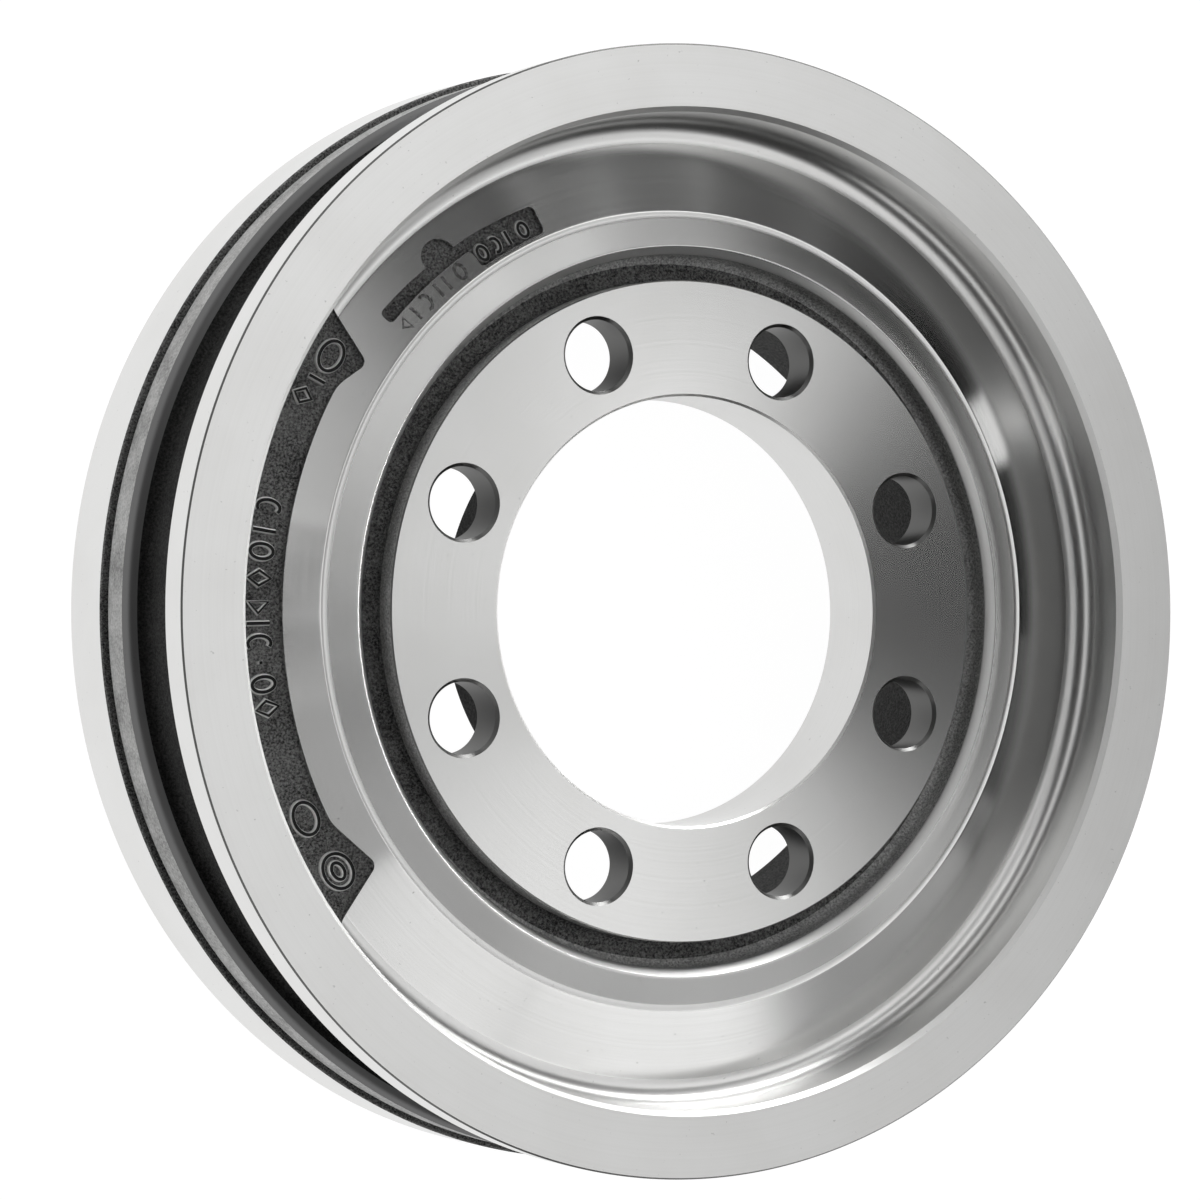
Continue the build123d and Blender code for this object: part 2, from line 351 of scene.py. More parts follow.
def casting_section(front, outside):
    """The closed section of the casting as (radius, height, finish), from the bore's front edge."""
    f, o = front, outside
    inner = f.valley_radius + f.relief_width
    fall = (f.dish_radius - inner) * math.tan(f.dish_angle)
    lean = f.opening_radius - f.opening_chamfer - f.dish_radius
    bulge_height = o.land_front + BULGE_PLACE * o.flank_bulge
    chamfer = o.edge_chamfer
    return rounded([
        (f.bore_radius, f.hub_height - f.bore_chamfer, 0, TURNED),
        (f.bore_radius + f.bore_chamfer, f.hub_height, 0, HUB),
        (f.hub_radius - f.hub_chamfer, f.hub_height, 0, BREAK),
        (f.hub_radius, f.hub_height - f.hub_chamfer, 0, GROOVE_WALL),
        (f.hub_radius, f.groove_floor, f.groove_fillet, GROOVE_FLOOR),
        (f.groove_radius, f.groove_floor, f.groove_fillet, GROOVE_WALL),
        (f.groove_radius, f.hub_height - f.lip_bevel, f.lip_round, BEVEL),
        (f.groove_radius + f.lip_bevel * math.tan(f.lip_angle), f.hub_height, f.lip_round, LIP),
        (f.valley_radius - f.relief_width, f.valley_height, f.relief_round, TURNED),
        (f.valley_radius, f.valley_height - f.relief_depth, f.relief_fillet, TURNED),
        (inner, f.valley_height, f.relief_round, DISH),
        (f.dish_radius, f.valley_height - fall, f.dish_fillet, COVE),
        (f.dish_radius + lean / 2, f.width - WALL_MIDDLE, 0, WALL),
        (f.opening_radius - f.opening_chamfer, f.width - f.opening_rise, 0, BEVEL),
        (f.opening_radius, f.width, 0, TURNED),
        (f.outer_radius - chamfer, f.width, 0, BREAK),
        (f.outer_radius, f.width - chamfer, 0, TURNED),
        (f.outer_radius, o.neck_front + chamfer, 0, TURNED),
        (f.outer_radius - chamfer, o.neck_front, 0, CAST),
        (o.neck_radius, o.neck_front, o.neck_fillet, CAST),
        (o.neck_radius, o.neck_rear, o.neck_fillet, CAST),
        (o.flank_radius, o.neck_rear, 0, FLANK),
        (o.land_radius - o.flank_bulge, bulge_height, o.flank_round, FLANK),
        (o.land_radius, o.land_front, 0, BLASTED),
        (o.land_radius, o.land_rear, 0, GROOVE_FLOOR),
        (o.thin_groove_radius, o.land_rear, 0, GROOVE_FLOOR),
        (o.thin_groove_radius, o.rear_ring, 0, GROOVE_FLOOR),
        (f.outer_radius - chamfer, o.rear_ring, 0, GROOVE_FLOOR),
        (f.outer_radius, o.rear_ring - chamfer, 0, TURNED),
        (f.outer_radius, chamfer, 0, TURNED),
        (f.outer_radius - chamfer, 0, 0, TURNED),
        (o.track_radius + o.track_chamfer, 0, 0, TURNED),
        (o.track_radius, o.track_chamfer, 0, BORED),
        (o.track_radius, o.chamber_top - fall, o.chamber_fillet, CAST),
        (o.skirt_outer, o.chamber_top, o.chamber_fillet, CAST),
        (o.skirt_outer, o.skirt_end, o.skirt_round, CAST),
        (o.skirt_inner, o.skirt_end, o.skirt_round, CAST),
        (o.skirt_inner, o.flange_back, o.skirt_fillet, TURNED),
        (o.collar_radius, o.flange_back, 0, CAST),
        (o.collar_radius, f.bore_end, 0, TURNED),
        (f.bore_radius, f.bore_end, 0, BORED),
    ])


def turning_tree():
    """Turns a section wire about Z. Its vertices are (radius - Mean Radius, -height)."""
    tree, add, given, result = new_geometry_tree("turned section", [
        ("Mean Radius", "NodeSocketFloat"),
        ("Sides", "NodeSocketInt"),
    ])
    path = add("GeometryNodeCurvePrimitiveCircle", {
        "Resolution": given.outputs["Sides"], "Radius": given.outputs["Mean Radius"]})
    wire = add("GeometryNodeMeshToCurve", {"Mesh": given.outputs["Geometry"]})
    turned = add("GeometryNodeCurveToMesh", {"Curve": path, "Profile Curve": wire})
    finish = add("GeometryNodeInputNamedAttribute", {"Name": "finish"}, data_type="INT")
    kept = add("GeometryNodeStoreNamedAttribute", {
        "Geometry": turned, "Name": "finish", "Value": finish}, data_type="INT", domain="FACE")
    closed = add("GeometryNodeMergeByDistance", {"Geometry": kept, "Distance": WELD_DISTANCE})
    feed(result, {"Geometry": closed})
    return tree


def turn(name, section, sides, closed=True):
    """A solid of revolution from section points (radius, height, finish)."""
    mean = max(point[0] for point in section)
    wire = bpy.data.meshes.new(name + "_wire")
    corners, edges, finishes = [], [], []
    for i in range(len(section) if closed else len(section) - 1):
        start, end = section[i], section[(i + 1) % len(section)]
        for r, z, _ in (start, end):
            corners.append((r - mean, -z, 0))
            finishes.append(start[2])
        edges.append((2 * i, 2 * i + 1))
    wire.from_pydata(corners, edges, [])
    marks = wire.attributes.new("finish", "INT", "POINT")
    marks.data.foreach_set("value", finishes)
    mesh = grow(name, wire, turning_tree(), {"Mean Radius": mean, "Sides": sides})
    return face_outwards(mesh)


def face_outwards(mesh):
    """Turns all faces of a closed mesh outwards."""
    bm = bmesh.new()
    bm.from_mesh(mesh)
    bmesh.ops.recalc_face_normals(bm, faces=bm.faces)
    bm.to_mesh(mesh)
    bm.free()
    return mesh


def prism(name, outline, bottom, top, finish):
    """A closed prism over an outline of (x, y) points."""
    count = len(outline)
    corners = [(x, y, z) for z in (bottom, top) for x, y in outline]
    sides = [(i, (i + 1) % count, (i + 1) % count + count, i + count) for i in range(count)]
    mesh = bpy.data.meshes.new(name)
    mesh.from_pydata(corners, [], [range(count), range(count, 2 * count), *sides])
    marks = mesh.attributes.new("finish", "INT", "FACE")
    marks.data.foreach_set("value", [finish] * (count + 2))
    return face_outwards(mesh)


# ---------------------------------------------------------------- cast patches

ARC_STEP = math.radians(0.75)
LOBE_STEPS = 40


def polar(radius, turn_by, height=0.0):
    """A point at a radius, an angle and a height."""
    return Vector((radius * math.cos(turn_by), radius * math.sin(turn_by), height))


def arc(start_radius, end_radius, start, end):
    """Points from one radius and angle to another, both ends included, as rounded() takes them."""
    steps = max(2, math.ceil(abs(end - start) / ARC_STEP))
    made = []
    for k in range(steps + 1):
        share = k / steps
        at = polar(start_radius + (end_radius - start_radius) * share, start + (end - start) * share)
        made.append((at.x, at.y, 0, 0))
    return made


def with_corners(points, radius_at):
    """Outline points with the given corner radii, as (x, y) pairs."""
    marked = [(x, y, radius_at.get(i, 0), 0) for i, (x, y, _, _) in enumerate(points)]
    return [(x, y) for x, y, _ in rounded(marked)]


def long_patch_outline(p, dish_radius):
    """The long patch: an arc band whose two inner corners reach nearer to the axis."""
    start, end = p.long_start + p.long_lean, p.long_end - p.long_lean
    outer = arc(dish_radius, dish_radius, p.long_end, p.long_start)
    first = polar(p.long_radius - p.long_flare_start, start)
    inner = arc(p.long_radius, p.long_radius, start + p.long_foot_start, end - p.long_foot_end)
    # Without the arc's next points, the blends have room at both of its ends.
    inner = inner[:1] + inner[4:-4] + inner[-1:]
    last = polar(p.long_radius - p.long_flare_end, end)
    points = outer + [(first.x, first.y, 0, 0)] + inner + [(last.x, last.y, 0, 0)]
    corners = {len(outer): p.long_corner, len(points) - 1: p.long_corner}
    feet = {len(outer) + 1: p.long_foot, len(points) - 2: p.long_foot}
    return with_corners(points, {**corners, **feet})


def short_patch_outline(p):
    """The short patch: a band with a step on its inner edge."""
    outer = arc(p.short_outer + p.short_widening, p.short_outer, p.short_end, p.short_start)
    near = arc(p.short_radius, p.short_radius, p.short_start, p.short_step)
    narrow = arc(p.short_narrow, p.short_narrow, p.short_step, p.short_end)
    points = outer + near + narrow
    step_at = len(outer) + len(near)
    ends = (0, len(outer) - 1, len(outer), step_at - 1, step_at, len(points) - 1)
    return with_corners(points, {i: p.short_corner for i in ends})


def lobe_outline(p):
    """A round lobe that shows only on the outer side of the short patch."""
    middle = p.short_outer + p.short_widening / 2
    inside = (p.short_narrow + middle) / 2
    centre = polar(middle, p.lobe_angle)
    reach = math.acos((middle ** 2 + inside ** 2 - p.lobe_radius ** 2) / (2 * middle * inside))
    chord = polar(inside, p.lobe_angle - reach) - centre
    start = math.atan2(chord.y, chord.x)
    chord = polar(inside, p.lobe_angle + reach) - centre
    sweep = (math.atan2(chord.y, chord.x) - start) % (2 * math.pi)
    return [
        tuple((centre + polar(p.lobe_radius, start + sweep * k / LOBE_STEPS))[:2])
        for k in range(LOBE_STEPS + 1)]


def patch_floor(front, patches, radius):
    """Height of the cast ground of the patches at a radius."""
    inner = front.valley_radius + front.relief_width
    return front.valley_height - patches.depth - (radius - inner) * math.tan(front.dish_angle)


# ---------------------------------------------------------------- casting with its holes and patches

CUTTERS = ("Stud Cutter", "Ground", "Long Patch", "Short Patch", "Lobe")
CASTING_SIDES = 384
STUD_HOLE_SIDES = 96
SHARP_ANGLE = math.radians(18)
OVERREACH = 5 * MM   # the cutters reach this far past what they cut


def cutting_tree(materials):
    """Cuts the stud holes and the patches out of the turned blank and gives each face its finish."""
    tree, add, given, result = new_geometry_tree("cut casting", [
        *((label, "NodeSocketObject") for label in CUTTERS),
        ("Studs", "NodeSocketInt"),
        ("Stud Circle", "NodeSocketFloat"),
        ("First Stud", "NodeSocketFloat"),
        ("Sharp Angle", "NodeSocketFloat"),
    ])
    stud, ground, long_patch, short_patch, lobe = (
        add("GeometryNodeObjectInfo", {"Object": given.outputs[label]}).outputs["Geometry"]
        for label in CUTTERS)

    circle = add("GeometryNodeMeshCircle", {
        "Vertices": given.outputs["Studs"], "Radius": given.outputs["Stud Circle"]})
    turned = add("ShaderNodeCombineXYZ", {"Z": given.outputs["First Stud"]})
    first = add("GeometryNodeTransform", {"Geometry": circle, "Rotation": turned})
    studs = add("GeometryNodeInstanceOnPoints", {"Points": first, "Instance": stud})
    holes = add("GeometryNodeRealizeInstances", {"Geometry": studs})

    closed = {"solver": "MANIFOLD"}
    short = add("GeometryNodeMeshBoolean", {"Mesh 2": [short_patch, lobe]}, operation="UNION", **closed)
    long_room, short_room = (
        add("GeometryNodeMeshBoolean", {"Mesh 2": [outline, ground]}, operation="INTERSECT", **closed)
        for outline in (long_patch, short))
    cut = add("GeometryNodeMeshBoolean", {
        "Mesh 1": given.outputs["Geometry"], "Mesh 2": [holes, long_room, short_room],
    }, operation="DIFFERENCE", **closed)

    smooth = add("GeometryNodeSetShadeSmooth", {"Geometry": cut, "Shade Smooth": True}, domain="FACE")
    fold = add("GeometryNodeInputMeshEdgeAngle").outputs["Unsigned Angle"]
    flat = add("FunctionNodeCompare", {
        "A": fold, "B": given.outputs["Sharp Angle"]}, data_type="FLOAT", operation="LESS_THAN")
    edges = add("GeometryNodeSetShadeSmooth", {"Geometry": smooth, "Shade Smooth": flat}, domain="EDGE")
    dressed = add("GeometryNodeRealizeInstances", {"Geometry": edges})
    finish = add("GeometryNodeInputNamedAttribute", {"Name": "finish"}, data_type="INT")
    for index, material in enumerate(materials):
        match = add("FunctionNodeCompare", {2: finish, 3: index}, data_type="INT", operation="EQUAL")
        dressed = add("GeometryNodeSetMaterial", {
            "Geometry": dressed, "Selection": match, "Material": material})
    feed(result, {"Geometry": dressed})
    return tree


class BRAKEDRUM_OT_casting(bpy.types.Operator):
    """Turn the casting, cut its stud holes and cast patches, and finish every face"""

    bl_idname = "brakedrum.casting"
    bl_label = "Casting"

    def execute(self, context):
        scene = context.scene
        front, outside, studs, patches = (
            scene.brake_front, scene.brake_outside, scene.brake_studs, scene.brake_patches)
        blank = turn("drum_casting", casting_section(front, outside), CASTING_SIDES)
        over = front.hub_height + OVERREACH
        below = outside.flange_back - OVERREACH
        wide = studs.hole_radius + studs.chamfer
        cutter = turn("stud_cutter", [
            (0, over, DRILLED),
            (wide, over, TURNED),
            (wide, front.hub_height, BREAK),
            (studs.hole_radius, front.hub_height - studs.chamfer, DRILLED),
            (studs.hole_radius, outside.flange_back + studs.chamfer, TURNED),
            (wide, outside.flange_back, TURNED),
            (wide, below, TURNED),
            (0, below, DRILLED),
        ], STUD_HOLE_SIDES, closed=False)
        inner = front.valley_radius + front.relief_width
        outer = front.dish_radius - patches.clear
        top = front.width + OVERREACH
        ground = turn("patch_ground", rounded([
            (inner, patch_floor(front, patches, inner), 0, SAND),
            (outer, patch_floor(front, patches, front.dish_radius), front.dish_fillet, SAND),
            (outer, top, 0, SAND),
            (inner, top, 0, SAND),
        ]), CASTING_SIDES)
        outlines = (
            ("long_patch", long_patch_outline(patches, front.dish_radius)),
            ("short_patch", short_patch_outline(patches)),
            ("lobe", lobe_outline(patches)),
        )
        prisms = [
            prism(name, outline, outside.chamber_top, top + MM, SAND) for name, outline in outlines]
        meshes = (cutter, ground, *prisms)
        holders = {label: bpy.data.objects.new(label, mesh) for label, mesh in zip(CUTTERS, meshes)}
        for holder in holders.values():
            scene.collection.objects.link(holder)
        mesh = grow("drum_casting", blank, cutting_tree(drum_materials(scene.brake_finish)), {
            "Studs": studs.count,
            "Stud Circle": studs.circle_radius,
            "First Stud": studs.phase,
            "Sharp Angle": SHARP_ANGLE,
            **holders,
        })
        for holder in holders.values():
            bpy.data.objects.remove(holder)
        piece = put_on_drum("drum_casting", mesh)
        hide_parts(NODE)
        return {"FINISHED"}


# ---------------------------------------------------------------- foundry marks

RING, LOZENGE, TRIANGLE, BAR, DOT, BOW = range(6)


def raised_places():
    """Plain raised marks on the cast patches as (degrees, radius, width, height in mm, shape)."""
    row = (167.7, 170.5, 173.0, 176.2, 179.5, 181.6, 184.0, 186.3, 188.9, 191.8)
    shapes = (BOW, BAR, RING, LOZENGE, TRIANGLE, BAR, BOW, DOT, RING, LOZENGE)
    places = [(at, 138.6, 4.4, 6.6, shape) for at, shape in zip(row, shapes)]
    short_row = zip((115.8, 118.4, 120.6, 122.8), (RING, BAR, BOW, RING))
    places += [(at, 125.6, 3.0, 4.4, shape) for at, shape in short_row]
    return places + [
        (147.5, 137.3, 9.6, 6.6, RING),
        (150.2, 142.6, 1.4, 1.4, DOT),
        (150.9, 137.6, 1.0, 5.0, BAR),
        (153.5, 139.2, 4.6, 5.4, LOZENGE),
        (206.0, 137.6, 10.0, 7.0, RING),
        (208.8, 142.6, 2.0, 2.0, DOT),
        (213.7, 136.5, 11.0, 8.4, RING),
        (213.7, 136.5, 5.4, 3.4, RING),
    ]


def faint_places():
    """Marks that the tool almost cut away, beside the narrow part of the short patch."""
    angles = (127.2, 129.8, 131.4, 133.9, 136.0, 138.1)
    shapes = (RING, BAR, BAR, BOW, BAR, TRIANGLE)
    return [(at, 125.2, 3.0, 4.6, shape) for at, shape in zip(angles, shapes)]


FOOT_SHARE = 1.6       # the foot of a raised line against its flat top
WELT_SHARE = 2.0       # height of the swept welt against what stands above the ground
ROUND_SHARE = 0.35     # rounding of its edges against the same


def marks_tree(material):
    """Sets outlines on points, sweeps a flat-topped welt along them and lays them on the cone."""
    tree, add, given, result = new_geometry_tree("foundry marks", [
        ("Line Width", "NodeSocketFloat"),
        ("Rise", "NodeSocketFloat"),
        ("Ground Height", "NodeSocketFloat"),
        ("Ground Slope", "NodeSocketFloat"),
    ])
    # Each shape is one unit wide and tall; the points give its size.
    ring, lozenge, triangle = (
        add("GeometryNodeCurvePrimitiveCircle", {"Resolution": corners, "Radius": 0.5})
        for corners in (28, 4, 3))
    bar, dot = (
        add("GeometryNodeCurvePrimitiveLine", {"Start": start, "End": end})
        for start, end in (((0, -0.5, 0), (0, 0.5, 0)), ((-0.1, 0, 0), (0.1, 0, 0))))
    bow = add("GeometryNodeCurveArc", {
        "Resolution": 14, "Radius": 0.5,
        "Start Angle": math.radians(60), "Sweep Angle": math.radians(240)})
    # The last one linked becomes the first instance, so they are linked in reverse.
    shapes = add("GeometryNodeGeometryToInstance", {
        "Geometry": [bow, dot, bar, triangle, lozenge, ring]})
    shape, turned, size = (
        add("GeometryNodeInputNamedAttribute", {"Name": name}, data_type=data_type)
        for name, data_type in (("shape", "INT"), ("turn", "FLOAT_VECTOR"), ("size", "FLOAT_VECTOR")))
    placed = add("GeometryNodeInstanceOnPoints", {
        "Points": given.outputs["Geometry"], "Instance": shapes, "Pick Instance": True,
        "Instance Index": shape, "Rotation": turned, "Scale": size})
    lines = add("GeometryNodeRealizeInstances", {"Geometry": placed})

    line_width, rise = given.outputs["Line Width"], given.outputs["Rise"]
    welt = add("GeometryNodeCurvePrimitiveQuadrilateral", {
        "Height": add("ShaderNodeMath", (rise, WELT_SHARE), operation="MULTIPLY"),
        "Bottom Width": line_width,
        "Top Width": add("ShaderNodeMath", (line_width, FOOT_SHARE), operation="MULTIPLY"),
        "Offset": 0.0,
    }, mode="TRAPEZOID")
    eased = add("GeometryNodeFilletCurve", {
        "Curve": welt, "Count": 3, "Limit Radius": True,
        "Radius": add("ShaderNodeMath", (rise, ROUND_SHARE), operation="MULTIPLY"),
    }, mode="POLY")
    swept = add("GeometryNodeCurveToMesh", {
        "Curve": lines, "Profile Curve": eased, "Fill Caps": True})
    smooth = add("GeometryNodeSetShadeSmooth", {"Geometry": swept, "Shade Smooth": True})

    radius = radius_of(add, add("GeometryNodeInputPosition"))
    fall = add("ShaderNodeMath", (radius, given.outputs["Ground Slope"]), operation="MULTIPLY")
    height = add("ShaderNodeMath", (given.outputs["Ground Height"], fall), operation="SUBTRACT")
    drop = add("ShaderNodeCombineXYZ", {"Z": height})
    laid = add("GeometryNodeSetPosition", {"Geometry": smooth, "Offset": drop})
    realized = add("GeometryNodeRealizeInstances", {"Geometry": laid})
    dressed = add("GeometryNodeSetMaterial", {"Geometry": realized, "Material": material})
    feed(result, {"Geometry": dressed})
    return tree


def lay_marks(name, places, material, line_width, rise, ground_height, slope):
    """One piece with marks at the given places, on ground that falls from the axis by a slope."""
    points, turns, sizes, shapes = [], [], [], []
    for degrees, radius, wide, tall, shape in places:
        at = math.radians(degrees)
        points.append(polar(radius * MM, at))
        turns.append((0, 0, at + math.pi / 2))
        sizes.append((wide * MM, tall * MM, MM))
        shapes.append(shape)
    start = bpy.data.meshes.new(name + "_points")
    start.from_pydata(points, [], [])
    for layer_name, rows in (("turn", turns), ("size", sizes)):
        layer = start.attributes.new(layer_name, "FLOAT_VECTOR", "POINT")
        layer.data.foreach_set("vector", [value for row in rows for value in row])
    layer = start.attributes.new("shape", "INT", "POINT")
    layer.data.foreach_set("value", shapes)
    mesh = grow(name, start, marks_tree(material), {
        "Line Width": line_width, "Rise": rise, "Ground Height": ground_height, "Ground Slope": slope})
    piece = put_on_drum(name, face_outwards(mesh))
    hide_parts(NODE)


class BRAKEDRUM_OT_marks(bpy.types.Operator):
    """Lay the foundry marks on the cast patches and beside them"""

    bl_idname = "brakedrum.marks"
    bl_label = "Foundry Marks"

    def execute(self, context):
        scene = context.scene
        front, patches, marks = scene.brake_front, scene.brake_patches, scene.brake_marks
        colours = scene.brake_finish
        slope = math.tan(front.dish_angle)
        ground = patch_floor(front, patches, 0.0)
        floor = ground + patches.depth
        lay_marks(
            "raised_marks", raised_places(), raised_iron(colours), marks.line, marks.rise,
            ground, slope)
        lay_marks(
            "faint_marks", faint_places(), faint_iron(colours), marks.faint_line, marks.faint_rise,
            floor, slope)
        return {"FINISHED"}


# ---------------------------------------------------------------- finishes

# Rings, pores and dents are drawn two to four times coarser than they are, or they would not show.
RING_PITCH = 0.9 * MM      # the tool's feed, really 0.2 to 0.4 mm
RING_TINT = 0.05
RING_GLOSS = 0.006
PORE_SIZE = 1.3 * MM       # pores that the cut opened, really about 0.3 mm
PORE_SHARE = 0.3
FILM_SPREAD = 28 * MM      # clouds of the oxide film that handling leaves
FILM_SHARE = 0.12
GRIT_SIZE = 0.9 * MM       # dents of the blasting grit, really about 0.4 mm
GRIT_DEPTH = 0.2 * MM
MOTTLE_SIZE = 9 * MM       # patches that were blasted longer
RUBBED_GRAIN = 0.5 * MM    # sand grain on the flat tops of the marks
CAST_METALLIC = 0.55       # oxide hides the rest of the metal


def new_material(name):
    """A material, a function that adds a node to it, its shader and its output."""
    material = bpy.data.materials.new(name)
    material.use_nodes = True
    tree = material.node_tree
    shader, output = (tree.nodes[name] for name in ("Principled BSDF", "Material Output"))
    return material, partial(add_node, tree), shader, output


def radius_of(add, place):
    """Distance from the axis."""
    flat = add("ShaderNodeVectorMath", (place, (1, 1, 0)), operation="MULTIPLY")
    return add("ShaderNodeVectorMath", (flat,), operation="LENGTH")


def turned_iron(name, colours, rough, stretch, turned_by, lean=0.0, across=1.0, iron=None):
    """Grey iron cut on a lathe: fine rings stretch its highlights into sectors that run outwards.

    stretch and turned_by set how much wider the highlight is across the rings than along them. lean
    is the slope of the long flanks of the tool marks, in metres per metre. across is 1 on a face,
    whose rings follow one another along the radius, and 0 on a wall, where they do so along the
    height."""
    material, add, shader, _ = new_material(name)
    place = add("ShaderNodeTexCoord").outputs["Object"]
    radius = radius_of(add, place)
    height = add("ShaderNodeSeparateXYZ", (place,)).outputs["Z"]
    along = add("ShaderNodeMix", {"Factor": across, "A": height, "B": radius}, data_type="FLOAT")
    lines = add("ShaderNodeTexNoise", {
        "W": along, "Scale": 1 / RING_PITCH, "Detail": 2.0}, noise_dimensions="1D")
    film = add("ShaderNodeTexNoise", {"Vector": place, "Scale": 1 / FILM_SPREAD, "Detail": 4.0})
    specks = add("ShaderNodeTexNoise", {"Vector": place, "Scale": 1 / PORE_SIZE, "Detail": 2.0})
    filmed = add("ShaderNodeMapRange", (film, 0.4, 0.8, 0.0, FILM_SHARE))
    lined = add("ShaderNodeMapRange", (lines, 0.3, 0.7, 0.0, RING_TINT))
    stained = add("ShaderNodeMath", (filmed, lined), operation="ADD")
    tint = add("ShaderNodeMix", {
        0: stained, 6: iron or colours.turned, 7: iron or colours.stain}, data_type="RGBA")
    pores = add("ShaderNodeMapRange", (specks, 0.72, 0.78, 0.0, PORE_SHARE))
    uneven = add("ShaderNodeMapRange", (lines, 0.3, 0.7, -RING_GLOSS, RING_GLOSS))
    feed(shader, {
        "Base Color": add("ShaderNodeMix", {
            0: pores, 6: tint, 7: colours.cast_grain}, data_type="RGBA"),
        "Metallic": 1.0,
        "Roughness": add("ShaderNodeMath", (uneven, rough), operation="ADD"),
        "Anisotropic": stretch,
        "Anisotropic Rotation": turned_by,
        "Tangent": add("ShaderNodeTangent", direction_type="RADIAL", axis="Z"),
    })
    if lean:
        slope = add("ShaderNodeMath", (radius, lean), operation="MULTIPLY")
        feed(shader, {"Normal": add("ShaderNodeBump", {
            "Strength": 1.0, "Distance": 1.0, "Height": slope})})
    return material


def cast_skin(name, low, high, grain, depth):
    """Sand-cast skin: dark oxide in the hollows, paler rubbed tops, no gloss."""
    material, add, shader, _ = new_material(name)
    place = add("ShaderNodeTexCoord").outputs["Object"]
    coarse, fine, patchy = (
        add("ShaderNodeTexNoise", {
            "Vector": place, "Scale": 1 / size, "Detail": detail, "Roughness": rough})
        for size, detail, rough in (
            (grain, 4.0, 0.6), (grain * 0.3, 3.0, 0.6), (grain * 18, 3.0, 0.5)))
    tops = add("ShaderNodeMix", {"Factor": 0.4, "A": coarse, "B": fine}, data_type="FLOAT")
    level = add("ShaderNodeMath", (patchy, 0.15, tops), operation="MULTIPLY_ADD")
    worn = add("ShaderNodeMapRange", (level, 0.48, 0.68, 0.0, 1.0))
    feed(shader, {
        "Base Color": add("ShaderNodeMix", {0: worn, 6: low, 7: high}, data_type="RGBA"),
        "Metallic": CAST_METALLIC,
        "Roughness": add("ShaderNodeMapRange", (tops, 0.3, 0.7, 0.85, 0.6)),
        "Normal": add("ShaderNodeBump", {"Strength": 1.0, "Distance": depth, "Height": tops}),
    })
    return material


def blasted_iron(name, colours):
    """Cast iron cleaned with grit: pale grey, matt, softly mottled."""
    material, add, shader, _ = new_material(name)
    place = add("ShaderNodeTexCoord").outputs["Object"]
    grit, mottle = (
        add("ShaderNodeTexNoise", {
            "Vector": place, "Scale": 1 / size, "Detail": 4.0, "Roughness": rough})
        for size, rough in ((GRIT_SIZE, 0.65), (MOTTLE_SIZE, 0.5)))
    level = add("ShaderNodeMix", {"Factor": 0.4, "A": grit, "B": mottle}, data_type="FLOAT")
    shade = add("ShaderNodeMapRange", (level, 0.36, 0.6, 1.0, 0.0))
    feed(shader, {
        "Base Color": add("ShaderNodeMix", {
            0: shade, 6: colours.blasted, 7: colours.blasted_low}, data_type="RGBA"),
        "Metallic": 0.7,
        "Roughness": 0.62,
        "Normal": add("ShaderNodeBump", {"Strength": 1.0, "Distance": GRIT_DEPTH, "Height": grit}),
    })
    return material


def raised_iron(colours):
    """Raised cast marks: their flat tops keep the dark skin; their rounded rims get a painted
    highlight, a pale colour set wherever the surface slopes.
    """
    material, add, shader, _ = new_material("cast iron marks, painted rim highlights")
    place = add("ShaderNodeTexCoord").outputs["Object"]
    normal = add("ShaderNodeNewGeometry").outputs["Normal"]
    facing = add("ShaderNodeSeparateXYZ", (normal,)).outputs["Z"]
    # Painted highlight: the sloping rims of the marks get the pale rim colour, whatever the light.
    rim = add("ShaderNodeMapRange", (facing, 0.90, 0.96, 1.0, 0.0))
    grain = add("ShaderNodeTexNoise", {"Vector": place, "Scale": 1 / RUBBED_GRAIN, "Detail": 3.0})
    rubbed = add("ShaderNodeMapRange", (grain, 0.5, 0.75, 0.0, 1.0))
    top = add("ShaderNodeMix", {0: rubbed, 6: colours.cast, 7: colours.ground}, data_type="RGBA")
    feed(shader, {
        "Base Color": add("ShaderNodeMix", {0: rim, 6: top, 7: colours.rubbed}, data_type="RGBA"),
        "Metallic": 0.6,
        "Roughness": 0.5,
    })
    return material


def faint_iron(colours):
    """Cast marks almost cut away: what is left shows as dull dark strokes in the turned floor."""
    return cast_skin(
        "cast iron marks, almost cut away", colours.ground, colours.ground_grain, 0.6 * MM, 0.1 * MM)


